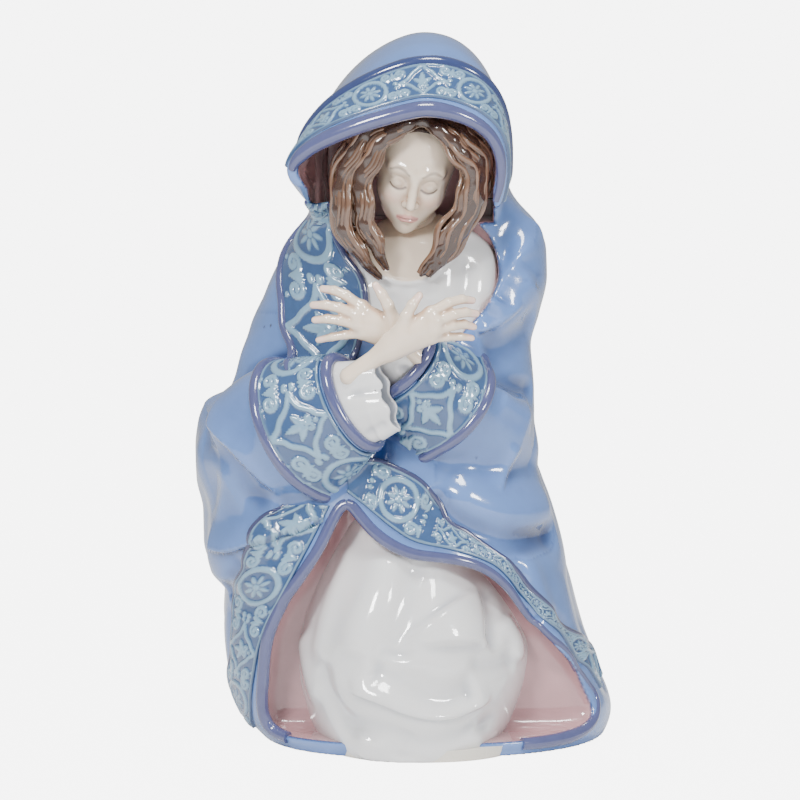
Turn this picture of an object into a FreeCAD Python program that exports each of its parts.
"""Kneeling Madonna figurine in glazed porcelain.

Slip-cast hollow pieces and sprigged relief strips, luted together before one firing. The figure kneels,
wrapped in a hooded mantle with wide sleeves, and her arms are crossed on her breast. She faces -Y, +X is
her left side, +Z is up, and the origin is the centre of the foot, on the shelf that she stands on.

Places are drawn on a plan figure PLAN_WIDTH by PLAN_DEPTH by PLAN_HEIGHT and scaled to the real size.
Walls, reliefs, clearances and bores are sizes of their own and aren't scaled.
"""
import FreeCAD
import Part

import math
import os

from FreeCAD import Vector

# ---- driving dimensions, in millimetres ----
FIGURE_HEIGHT = 240.0
FIGURE_WIDTH = 143.0
FIGURE_DEPTH = 124.0
WALL = 4.0                 # cast wall of the large hollow pieces
SMALL_WALL = 2.6           # cast wall of the head, sleeves and undersleeves
RELIEF = 1.2               # height of the applied border strips
BORDER_WIDTH = 15.0        # width of the hem and collar strips
HOOD_BAND_WIDTH = 17.0
ROLL_RADIUS = 1.7          # rolled edge along hood, cuffs and hems
SEAM = 0.15                # slip seam between two cast pieces
BASE_THICKNESS = 4.0
FOOT_RIM_WIDTH = 5.0       # unglazed rim that bears on the shelf
FOOT_RECESS = 1.0          # depth of the recess inside that rim
VENT_RADIUS = 4.0          # firing vent in the base
CUFF_BAND = 17.0           # length of the embossed part of a cuff
FINGER_RADIUS = 1.35
ELBOW_SWELL = 4.0          # how much wider a sleeve is at the elbow
SLEEVE_BELLY = 2.0         # how much a sleeve swells between elbow and cuff
ROLL_SEAT = 0.6            # wall left behind a rolled edge
LIP_STAND = 0.6            # how far a cuff's rolled lip stands over its relief
CLEAR = 10.0               # how far a cutting form reaches past what it cuts

# ---- the plan figure, in its own millimetres ----
PLAN_WIDTH = 143.0
PLAN_DEPTH = 124.0
PLAN_HEIGHT = 240.0
SX = FIGURE_WIDTH / PLAN_WIDTH
SY = FIGURE_DEPTH / PLAN_DEPTH
SZ = FIGURE_HEIGHT / PLAN_HEIGHT
GIRTH = (SX * SY * SZ) ** (1.0 / 3.0)

# outlines of the mantle: height, her right edge, her left edge, front, back
MANTLE_SKIRT = [
    (0, -51, 66, -50, 56),
    (8, -57, 71, -54, 60),
    (22, -61, 67, -54, 60),
    (40, -62.5, 60.5, -52, 58),
    (56, -63, 56, -49, 56),
]
MANTLE_BODY = [
    (56, -69, 56, -45, 56),
    (72, -70, 53, -42, 54),
    (88, -72, 47, -38, 52),
    (104, -70, 44, -33, 49),
    (118, -59, 45, -28, 46),
    (138, -52, 45, -26, 42),
    (156, -45.5, 48.5, -25, 39),
    (168, -39, 46, -23, 36),
    (178, -29, 40, -19, 33),
]
GOWN_SKIRT = [
    (0, -34, 46, -61, 30),
    (12, -37, 51, -62, 30),
    (28, -35, 47, -60, 29),
    (46, -30, 39, -55, 26),
    (62, -25, 30, -46, 20),
    (76, -20, 20, -37, 12),
    (90, -15, 13, -32, 8),
]
GOWN_BODICE = [
    (120, -22, 28, -21, 14),
    (138, -24, 31, -24, 14),
    (154, -23, 33, -24, 14),
    (167, -17, 29, -20, 12),
    (175, -9, 20, -15, 9),
]
# outlines of the hood from back to front: depth, her right edge, her left edge, underside, crest
HOOD = [
    (34, -16, 25, 166, 208),
    (28, -25, 34, 158, 225),
    (12, -31, 38, 148, 238),
    (-6, -35, 38, 146, 240),
    (-24, -39, 37, 150, 232),
    (-42, -43, 36, 156, 219),
]
HOOD_FLOOR = 178           # the hood is cut off here, where it meets the mantle
HOOD_TILT = 14             # degrees that the face opening leans back
HOOD_FACE_Y = -38          # where the face opening crosses the height below
HOOD_FACE_Z = 200
# front edges of the mantle below the sleeves, as (x, z), from the foot up to the clasped point
HEM_RIGHT = [(-44, -6), (-48, 14), (-45, 32), (-37, 50), (-29, 64)]
HEM_APEX = (-20, 87)
HEM_LEFT = [(-2, 73), (24, 62), (38, 50), (52, 32), (64, 14), (64, -6)]
HEM_RISE = 0.75            # share of a widened hem that goes upwards
FAR_FRONT = -100           # depths between which the front openings are cut
HEM_BACK = -8
CHEST_BACK = 2
COLLAR_BACK = -2
# chest opening of the mantle, as (x, z)
CHEST_OPENING = [
    (-22, 186), (-20, 166), (-17, 146), (-10, 128),
    (14, 124), (25, 140), (33, 158), (34, 186),
]
COLLAR_EDGE = CHEST_OPENING[:4]
HEAD_CENTRE = (3.5, -14, 199)
HEAD_RADII = (16, 19, 22)
HEAD_NOD = 24              # degrees forward
HEAD_LEAN = 11             # degrees towards her left
NECK_FOOT = (3, -4, 164)
NECK_RADIUS = 8.5
HAIR_THICKNESS = 3.0
HAIR_OPENING_AT = (0, -22, -11)        # centre of the face opening, from the head's centre
HAIR_OPENING_RADII = (15.5, 20, 20)
LOCK_RADIUS = 6.5
LOCK_TEMPLE = 0.75                     # a lock's radius at the temple, as a share
LOCK_BELLY = 0.45                      # what it gains halfway down
LOCK_THINNING = 0.3                    # what it has lost at the tip
LOCK_FLATNESS = 0.7
RIGHT_LOCK = [(-15, -24, 203), (-17, -28, 190), (-15.5, -29, 176), (-8.5, -27, 161)]
LEFT_LOCK = [(21, -24, 203), (23, -28, 190), (19, -29, 176), (11, -27, 162)]
# forearms: elbow, wrist, half height and half width of the cuff
RIGHT_ARM = dict(elbow=(-56, -14, 92), wrist=(-5, -49, 130), tall=17.5, flat=9.5)
LEFT_ARM = dict(elbow=(40, -15, 96), wrist=(-2, -39.5, 138), tall=16.0, flat=8.5)
CUFF_UPRIGHT = (0, 0.15, 1)            # the way that a cuff's height points
CUFF_START = 0.46                      # where a cuff starts along the forearm
BORE_PAST = 0.1                        # share of a forearm that a bore runs past its piece
# undersleeve: share of the forearm, then its height and width as shares of the sleeve's bore
UNDERSLEEVE = [
    (0.34, 1.0, 1.0), (0.44, 1.0, 1.0), (0.68, 0.72, 0.9),
    (0.86, 0.54, 0.85), (0.97, 0.42, 0.84),
]
WRIST_BORE = (0.2, 1.2)                # shares of the forearm between which it is bored for the wrist
WRIST_RADIUS = 4.6
WRIST_TAPER = 0.8
STUB_START = 0.5                       # where the forearm's stub starts inside the undersleeve
PALM_END_RADIUS = 3.0
KNUCKLE_ROOT = 2.6
KNUCKLE_RADIUS = 2.1
FINGER_BASE = 1.25                     # a finger's radius at the knuckle, as a share
THUMB_BASE = 1.6
THUMB_ROOT = 0.25                      # where the thumb leaves the palm
RIGHT_HAND = dict(palm_end=(8, -48, 141), palm_half=(1.5, 0, 4.6), thumb_tip=(3, -47, 148),
                  finger_tips=[(24, -44, 138), (25, -45, 143), (25, -45, 147), (23, -44, 151)])
LEFT_HAND = dict(palm_end=(-13, -36, 144), palm_half=(-1, 0, 5), thumb_tip=(-7, -36, 154),
                 finger_tips=[(-26, -33, 137), (-31, -33, 143), (-32, -33, 149), (-29, -33, 155)])
VENT_PLACE = (4, 42)
# how square the outlines are: 2 is an oval
BODY_SQUARE = 2.3
HOOD_SQUARE = 2.0
SLEEVE_SQUARE = 2.4


def spot(x, y, z):
    """A point of the plan figure at the real size."""
    return Vector(x * SX, y * SY, z * SZ)


def closed_curve(points):
    """Smooth closed wire through points."""
    curve = Part.BSplineCurve()
    curve.interpolate(Points=points, PeriodicFlag=True)
    return Part.Wire([curve.toShape()])


def rounded(share, square):
    """Point of a unit rounded rectangle at share of its way round."""
    angle = 2 * math.pi * share
    c, s = math.cos(angle), math.sin(angle)
    return (math.copysign(abs(c) ** (2 / square), c), math.copysign(abs(s) ** (2 / square), s))


def level_ring(station, grow, count=20):
    """Horizontal outline of a station, moved outwards by grow."""
    z, right, left, front, back = station
    centre = spot((right + left) / 2, (front + back) / 2, z)
    half_x = (left - right) / 2 * SX + grow
    half_y = (back - front) / 2 * SY + grow
    ring = []
    for i in range(count):
        u, v = rounded(i / count, BODY_SQUARE)
        ring.append(centre + Vector(u * half_x, v * half_y, 0))
    return closed_curve(ring)


def upright_ring(station, grow, count=20):
    """Outline of a hood station, in a plane across Y, moved outwards by grow."""
    y, right, left, low, high = station
    centre = spot((right + left) / 2, y, (low + high) / 2)
    half_x = (left - right) / 2 * SX + grow
    half_z = (high - low) / 2 * SZ + grow
    ring = []
    for i in range(count):
        u, v = rounded(i / count, HOOD_SQUARE)
        ring.append(centre + Vector(u * half_x, 0, v * half_z))
    return closed_curve(ring)


def level_form(stations, grow=0.0):
    """Closed solid through horizontal outlines."""
    return Part.makeLoft([level_ring(s, grow) for s in stations], True)


def hood_form(grow=0.0):
    """Closed solid of the hood; the back closes further in when it shrinks."""
    stations = [(HOOD[0][0] + grow / SY,) + HOOD[0][1:]] + HOOD[1:]
    return Part.makeLoft([upright_ring(s, grow) for s in stations], True)


def slab(z_low, z_high):
    """Everything between two heights."""
    reach = 4 * max(FIGURE_WIDTH, FIGURE_DEPTH)
    block = Part.makeBox(reach, reach, z_high - z_low)
    block.translate(Vector(-reach / 2, -reach / 2, z_low))
    return block


def front_prism(outline, y_front, y_back):
    """Column along Y through a smooth closed outline given as (x, z)."""
    points = [spot(x, y_front, z) for x, z in outline]
    edge = Part.BSplineCurve()
    edge.interpolate(Points=points)
    sill = Part.LineSegment(points[-1], points[0])
    face = Part.Face(Part.Wire([edge.toShape(), sill.toShape()]))
    return face.extrude(Vector(0, (y_back - y_front) * SY, 0))


def face_slice(start, end):
    """Slab parallel to the hood's face opening, from start to end millimetres behind it."""
    reach = 3 * FIGURE_HEIGHT
    block = Part.makeBox(reach, end - start, reach)
    block.translate(Vector(-reach / 2, start, -reach / 2))
    pivot = spot(0, HOOD_FACE_Y, HOOD_FACE_Z)
    block.rotate(Vector(0, 0, 0), Vector(1, 0, 0), -HOOD_TILT)
    block.translate(pivot)
    return block


def ellipsoid(centre, radii, nod=0.0, lean=0.0):
    """Ellipsoid at the real size, nodded forwards and leant towards +X about its centre."""
    ball = Part.makeSphere(1.0)
    grow = FreeCAD.Matrix()
    grow.scale(radii[0], radii[1], radii[2])
    ball = ball.transformGeometry(grow)
    ball.rotate(Vector(0, 0, 0), Vector(1, 0, 0), nod)
    ball.rotate(Vector(0, 0, 0), Vector(0, 1, 0), lean)
    ball.translate(centre)
    return ball


def tapered(start, end, r_start, r_end):
    """Round cone, or cylinder, between two points."""
    axis = end - start
    if abs(r_start - r_end) < 1e-6:
        return Part.makeCylinder(r_start, axis.Length, start, axis)
    return Part.makeCone(r_start, r_end, axis.Length, start, axis)


def oval_ring(centre, axis, tall_way, tall, flat, count=16):
    """Oval outline across axis, its long half-size along tall_way."""
    along = Vector(axis).normalize()
    up = (tall_way - along * tall_way.dot(along)).normalize()
    side = along.cross(up)
    ring = []
    for i in range(count):
        u, v = rounded(i / count, SLEEVE_SQUARE)
        ring.append(centre + up * (v * tall) + side * (u * flat))
    return closed_curve(ring)


def arm_tube(arm, start, end, grow_start, grow_end, swell=0.0, spans=3):
    """Solid of a sleeve's oval section along a forearm, between two shares of its length."""
    elbow, wrist = spot(*arm["elbow"]), spot(*arm["wrist"])
    axis = wrist - elbow
    rings = []
    for step in range(spans + 1):
        part = step / spans
        share = start + (end - start) * part
        grow = grow_start + (grow_end - grow_start) * part + swell * math.sin(math.pi * part)
        rings.append(oval_ring(elbow + axis * share, axis, Vector(*CUFF_UPRIGHT),
                               arm["tall"] * GIRTH + grow, arm["flat"] * GIRTH + grow))
    return Part.makeLoft(rings, True)


def length_of(arm):
    return (spot(*arm["wrist"]) - spot(*arm["elbow"])).Length


def main_solid(shape):
    """The largest solid of a shape, without the crumbs that a cut leaves."""
    solids = sorted(shape.Solids, key=lambda s: s.Volume)
    return solids[-1]


# ---- the foot ----
def floor_form(inset, thickness, low=0.0):
    """Slab as wide as the mantle and the gown together, inset from their outsides."""
    mantle = level_form(MANTLE_SKIRT, -inset).common(slab(low, thickness))
    gown = level_form(GOWN_SKIRT, -inset).common(slab(low, thickness))
    return mantle.fuse(gown)


def make_base_plate():
    """Floor that closes the cast figure, recessed inside its unglazed rim, with the firing vent."""
    plate = floor_form(WALL + SEAM, BASE_THICKNESS)
    recess = floor_form(WALL + SEAM + FOOT_RIM_WIDTH, FOOT_RECESS, -CLEAR)
    below = spot(*VENT_PLACE, 0) - Vector(0, 0, BASE_THICKNESS)
    vent = Part.makeCylinder(VENT_RADIUS, 3 * BASE_THICKNESS, below)
    return main_solid(plate.cut(recess).cut(vent))


# ---- gown ----
def make_gown_skirt(floor):
    """Hollow front of the gown over both knees, round the base plate in front and on it behind."""
    top = GOWN_SKIRT[-1][0] * SZ
    inner = level_form(GOWN_SKIRT, -WALL).common(slab(-CLEAR, top - WALL))
    shell = level_form(GOWN_SKIRT).cut(inner)
    return main_solid(shell.cut(floor))


def make_gown_bodice(mantle):
    """Hollow chest of the gown, seated against the inside of the mantle."""
    top = GOWN_BODICE[-1][0] * SZ
    low = GOWN_BODICE[0][0] * SZ
    inner = level_form(GOWN_BODICE, -WALL).common(slab(low + WALL, top - WALL))
    return main_solid(level_form(GOWN_BODICE).cut(inner).cut(mantle))


# ---- mantle ----
def hem_outline(out=0.0):
    """Outline of the gap between the mantle's front edges, widened by out millimetres."""
    moved = []
    for x, z in HEM_RIGHT + [HEM_APEX] + HEM_LEFT:
        away = 1 if x > HEM_APEX[0] else -1
        rise = HEM_RISE * out / SZ if z > HEM_RIGHT[1][1] else 0
        moved.append((x + away * out / SX, z + rise))
    return moved


def hem_column(out, past=0.0):
    """Column through the gap between the hems, longer by past at both ends."""
    return front_prism(hem_outline(out), FAR_FRONT - past, HEM_BACK + past)


def make_mantle_skirt():
    """Lower mantle, open in front over the gown and open below for the base plate."""
    top = MANTLE_SKIRT[-1][0] * SZ
    shell = level_form(MANTLE_SKIRT).cut(level_form(MANTLE_SKIRT, -WALL))
    return main_solid(shell.cut(hem_column(2 * ROLL_RADIUS)).common(slab(0, top)))


def make_mantle_body():
    """Upper mantle with both upper sleeves, from the knees to the neck, open over the breast."""
    low = MANTLE_BODY[0][0] * SZ + SEAM
    top = MANTLE_BODY[-1][0] * SZ
    shell = level_form(MANTLE_BODY).cut(level_form(MANTLE_BODY, -WALL)).common(slab(low, top))
    chest = front_prism(CHEST_OPENING, FAR_FRONT, CHEST_BACK)
    return main_solid(shell.cut(chest).cut(hem_column(2 * ROLL_RADIUS)))


def hem_strip(stations, grow_in, grow_out, out_in, out_out, z_low, z_high):
    """Strip of a mantle form between two thicknesses and two widenings of the hem outline."""
    skin = level_form(stations, grow_out).cut(level_form(stations, grow_in))
    region = hem_column(out_out).cut(hem_column(out_in, CLEAR))
    return skin.common(region).common(slab(z_low, z_high))


def two_sides(strip):
    """The right and the left solid of a strip."""
    solids = sorted(strip.Solids, key=lambda s: s.Volume)[-2:]
    return sorted(solids, key=lambda s: s.CenterOfMass.x)


def make_hem_bands():
    """Embossed strips along both front edges of the lower mantle."""
    top = MANTLE_SKIRT[-1][0] * SZ
    roll = 2 * ROLL_RADIUS
    start = roll + SEAM
    strip = hem_strip(MANTLE_SKIRT, SEAM, SEAM + RELIEF, start, start + BORDER_WIDTH, roll, top - SEAM)
    return two_sides(strip)


def make_hem_rolls():
    """Rolled front edges of the lower mantle."""
    top = MANTLE_SKIRT[-1][0] * SZ
    end = 2 * ROLL_RADIUS - SEAM
    return two_sides(hem_strip(MANTLE_SKIRT, ROLL_SEAT - WALL, RELIEF, 0, end, 0, top - SEAM))


def lap_heights():
    """Heights between which the strips across the lap are cut out."""
    return MANTLE_BODY[0][0] * SZ + 2 * SEAM, HEM_APEX[1] * SZ + 2 * BORDER_WIDTH


def make_lap_band():
    """Embossed strip across the lap, where the two front edges meet below the sleeves."""
    low, high = lap_heights()
    start = 2 * ROLL_RADIUS + SEAM
    return main_solid(hem_strip(MANTLE_BODY, SEAM, SEAM + RELIEF, start, start + BORDER_WIDTH, low, high))


def make_lap_roll():
    """Rolled edge across the lap."""
    low, high = lap_heights()
    end = 2 * ROLL_RADIUS - SEAM
    return main_solid(hem_strip(MANTLE_BODY, ROLL_SEAT - WALL, RELIEF, 0, end, low, high))


def make_collar_band():
    """Embossed strip down the right front edge of the mantle, from the neck to the sleeve."""
    outer = [(x - BORDER_WIDTH / SX, z) for x, z in COLLAR_EDGE]
    points = [spot(x, FAR_FRONT, z) for x, z in COLLAR_EDGE + outer[::-1]]
    reach = Vector(0, (COLLAR_BACK - FAR_FRONT) * SY, 0)
    column = Part.Face(Part.makePolygon(points + [points[0]])).extrude(reach)
    skin = level_form(MANTLE_BODY, SEAM + RELIEF).cut(level_form(MANTLE_BODY, SEAM))
    top = MANTLE_BODY[-1][0] * SZ
    return main_solid(skin.common(column).common(slab(0, top)))


# ---- hood ----
def hood_shell(grow_out, grow_in):
    above_neck = slab(HOOD_FLOOR * SZ + SEAM, 2 * FIGURE_HEIGHT)
    return hood_form(grow_out).cut(hood_form(grow_in)).common(above_neck)


def make_hood():
    """Hollow hood, open at the face and below."""
    rim = 2 * ROLL_RADIUS
    shell = hood_form().cut(hood_form(-WALL).fuse(face_slice(-3 * FIGURE_DEPTH, rim)))
    return main_solid(shell.common(slab(HOOD_FLOOR * SZ + SEAM, 2 * FIGURE_HEIGHT)))


def make_hood_rim():
    """Rolled edge round the face opening."""
    shell = hood_shell(RELIEF, ROLL_SEAT - WALL)
    return main_solid(shell.common(face_slice(0, 2 * ROLL_RADIUS - SEAM)))


def make_hood_band():
    """Embossed strip behind the rolled edge."""
    start = 2 * ROLL_RADIUS
    shell = hood_shell(SEAM + RELIEF, SEAM)
    return main_solid(shell.common(face_slice(start, start + HOOD_BAND_WIDTH)))


# ---- head ----
def head_solid(grow=0.0):
    radii = [r * GIRTH + grow for r in HEAD_RADII]
    return ellipsoid(spot(*HEAD_CENTRE), radii, HEAD_NOD, HEAD_LEAN)


def neck_solid(grow=0.0):
    radius = NECK_RADIUS * GIRTH + grow
    return tapered(spot(*NECK_FOOT), spot(*HEAD_CENTRE), radius, radius)


def make_head(bodice):
    """Head and neck, cast in one and hollow inside the skull."""
    solid = head_solid().fuse(neck_solid()).cut(head_solid(-SMALL_WALL))
    return main_solid(solid.cut(bodice))


def make_hair_crown():
    """Hair over the skull, parted above the brow, open at the face and neck."""
    cap = head_solid(SEAM + HAIR_THICKNESS).cut(head_solid(SEAM))
    centre = spot(*HEAD_CENTRE)
    radii = [r * GIRTH for r in HAIR_OPENING_RADII]
    opening = ellipsoid(centre + spot(*HAIR_OPENING_AT), radii, HEAD_NOD, HEAD_LEAN)
    nape = tapered(spot(*NECK_FOOT), centre, NECK_RADIUS * GIRTH + SEAM, NECK_RADIUS * GIRTH + SEAM)
    return main_solid(cap.cut(opening).cut(nape))


def make_lock(points, others):
    """One lock of hair, thick at the temple and narrowing towards the breast."""
    places = [spot(*p) for p in points]
    rings = []
    for i, place in enumerate(places):
        before, after = places[max(i - 1, 0)], places[min(i + 1, len(places) - 1)]
        part = i / (len(places) - 1)
        share = LOCK_TEMPLE + LOCK_BELLY * math.sin(math.pi * part) - LOCK_THINNING * part
        radius = LOCK_RADIUS * GIRTH * share
        rings.append(oval_ring(place, after - before, Vector(0, 1, 0), radius * LOCK_FLATNESS, radius))
    lock = Part.makeLoft(rings, True)
    for other in others:
        lock = lock.cut(other)
    return main_solid(lock)


# ---- arms ----
def make_arm_form(arm):
    """Filled form just clear of a sleeve and its cuff, to trim what passes behind them."""
    proud = RELIEF + LIP_STAND + SEAM
    return arm_tube(arm, 0.0, 1.0, ELBOW_SWELL + proud, proud, SLEEVE_BELLY)


def make_sleeve(arm, mantle_form):
    """Hollow lower sleeve from the mantle to its cuff."""
    elbow_wall = SMALL_WALL / length_of(arm)
    outer = arm_tube(arm, 0.0, CUFF_START, ELBOW_SWELL, 0, SLEEVE_BELLY)
    inner = arm_tube(arm, elbow_wall, CUFF_START + BORE_PAST, ELBOW_SWELL - SMALL_WALL, -SMALL_WALL,
                     SLEEVE_BELLY)
    return main_solid(outer.cut(inner).cut(mantle_form))


def make_cuff(arm, mantle_form):
    """Embossed cuff with a rolled edge at the wrist end."""
    seam = SEAM / length_of(arm)
    start = CUFF_START + seam
    end = start + CUFF_BAND / length_of(arm)
    lip = end + 2 * ROLL_RADIUS / length_of(arm)
    band = arm_tube(arm, start, end, RELIEF, RELIEF)
    edge = arm_tube(arm, end, lip, RELIEF + LIP_STAND, RELIEF + LIP_STAND)
    hollow = arm_tube(arm, start - BORE_PAST, lip + BORE_PAST, -SMALL_WALL, -SMALL_WALL)
    return main_solid(band.fuse(edge).cut(hollow).cut(mantle_form))


def make_undersleeve(arm):
    """White inner sleeve, seated in the bore of the sleeve and narrowing to the wrist."""
    elbow, wrist = spot(*arm["elbow"]), spot(*arm["wrist"])
    axis = wrist - elbow
    seat_tall = arm["tall"] * GIRTH - SMALL_WALL - SEAM
    seat_flat = arm["flat"] * GIRTH - SMALL_WALL - SEAM
    rings = []
    for share, tall, flat in UNDERSLEEVE:
        rings.append(oval_ring(elbow + axis * share, axis, Vector(*CUFF_UPRIGHT),
                               seat_tall * tall, seat_flat * flat))
    cloth = Part.makeLoft(rings, True)
    core = WRIST_RADIUS * GIRTH + SEAM
    bore = tapered(elbow + axis * WRIST_BORE[0], elbow + axis * WRIST_BORE[1], core, core)
    return main_solid(cloth.cut(bore))


def make_hand(arm, palm_end, palm_half, thumb_tip, finger_tips):
    """Forearm stub, palm, thumb and four fingers, cast as one small solid piece."""
    elbow, wrist = spot(*arm["elbow"]), spot(*arm["wrist"])
    axis = wrist - elbow
    end = spot(*palm_end)
    across = spot(*palm_half)
    narrow = WRIST_RADIUS * GIRTH * WRIST_TAPER
    pieces = [tapered(elbow + axis * STUB_START, wrist, WRIST_RADIUS * GIRTH, narrow)]
    pieces.append(ellipsoid(wrist, [narrow] * 3))
    pieces.append(tapered(wrist, end, narrow, PALM_END_RADIUS * GIRTH))
    for i, tip in enumerate(finger_tips):
        middle = (len(finger_tips) - 1) / 2
        knuckle = end + across * ((i - middle) / middle)
        pieces.append(tapered(wrist, knuckle, KNUCKLE_ROOT * GIRTH, KNUCKLE_RADIUS * GIRTH))
        pieces.append(ellipsoid(knuckle, [KNUCKLE_RADIUS * GIRTH] * 3))
        pieces.append(tapered(knuckle, spot(*tip), FINGER_RADIUS * FINGER_BASE, FINGER_RADIUS))
        pieces.append(ellipsoid(spot(*tip), [FINGER_RADIUS] * 3))
    root = wrist + (end - wrist) * THUMB_ROOT
    pieces.append(tapered(root, spot(*thumb_tip), FINGER_RADIUS * THUMB_BASE, FINGER_RADIUS))
    pieces.append(ellipsoid(spot(*thumb_tip), [FINGER_RADIUS] * 3))
    return main_solid(pieces[0].multiFuse(pieces[1:]))


def build():
    """Every piece by name, in the plan's place."""
    parts = {}
    mantle_form = level_form(MANTLE_BODY, SEAM)
    floor = floor_form(WALL, BASE_THICKNESS + SEAM, -CLEAR)
    arm_form = make_arm_form(RIGHT_ARM)
    parts["base_plate"] = make_base_plate()
    parts["gown_skirt"] = make_gown_skirt(floor)
    parts["mantle_skirt"] = make_mantle_skirt()
    parts["mantle_body"] = make_mantle_body()
    parts["gown_bodice"] = make_gown_bodice(parts["mantle_body"])
    parts["hem_band_right"], parts["hem_band_left"] = make_hem_bands()
    parts["hem_roll_right"], parts["hem_roll_left"] = make_hem_rolls()
    parts["lap_band"] = main_solid(make_lap_band().cut(arm_form))
    parts["lap_roll"] = main_solid(make_lap_roll().cut(level_form(GOWN_SKIRT, SEAM)))
    parts["collar_band"] = main_solid(make_collar_band().cut(arm_form))
    parts["hood"] = make_hood()
    parts["hood_rim"] = make_hood_rim()
    parts["hood_band"] = make_hood_band()
    parts["head"] = make_head(parts["gown_bodice"])
    parts["hair_crown"] = make_hair_crown()
    behind_locks = [parts["head"], parts["hair_crown"], parts["gown_bodice"]]
    parts["hair_lock_right"] = make_lock(RIGHT_LOCK, behind_locks)
    parts["hair_lock_left"] = make_lock(LEFT_LOCK, behind_locks)
    parts["sleeve_right"] = make_sleeve(RIGHT_ARM, mantle_form)
    parts["sleeve_left"] = make_sleeve(LEFT_ARM, mantle_form)
    parts["cuff_right"] = make_cuff(RIGHT_ARM, mantle_form)
    parts["cuff_left"] = make_cuff(LEFT_ARM, mantle_form)
    parts["undersleeve_right"] = make_undersleeve(RIGHT_ARM).cut(mantle_form)
    parts["undersleeve_left"] = make_undersleeve(LEFT_ARM).cut(mantle_form)
    parts["hand_right"] = main_solid(make_hand(RIGHT_ARM, **RIGHT_HAND).cut(mantle_form))
    others = [mantle_form, parts["cuff_right"], parts["hand_right"]]
    parts["hand_left"] = main_solid(make_hand(LEFT_ARM, **LEFT_HAND).cut(others))
    return parts


def centred(parts):
    """All pieces moved together, so that the origin is the centre of the foot of the whole figure's box."""
    whole = Part.makeCompound(list(parts.values())).optimalBoundingBox(True, False)
    shift = Vector(-(whole.XMin + whole.XMax) / 2, -(whole.YMin + whole.YMax) / 2, -whole.ZMin)
    for shape in parts.values():
        shape.translate(shift)
    return parts


os.makedirs("parts", exist_ok=True)
for name, shape in centred(build()).items():
    shape.exportStep("parts/" + name + ".step")
    box = shape.optimalBoundingBox(False, False)
    print("%-18s valid %s  %d solid  %8.0f mm3  x %.1f..%.1f  y %.1f..%.1f  z %.1f..%.1f" % (
        name, shape.isValid(), len(shape.Solids), shape.Volume,
        box.XMin, box.XMax, box.YMin, box.YMax, box.ZMin, box.ZMax))
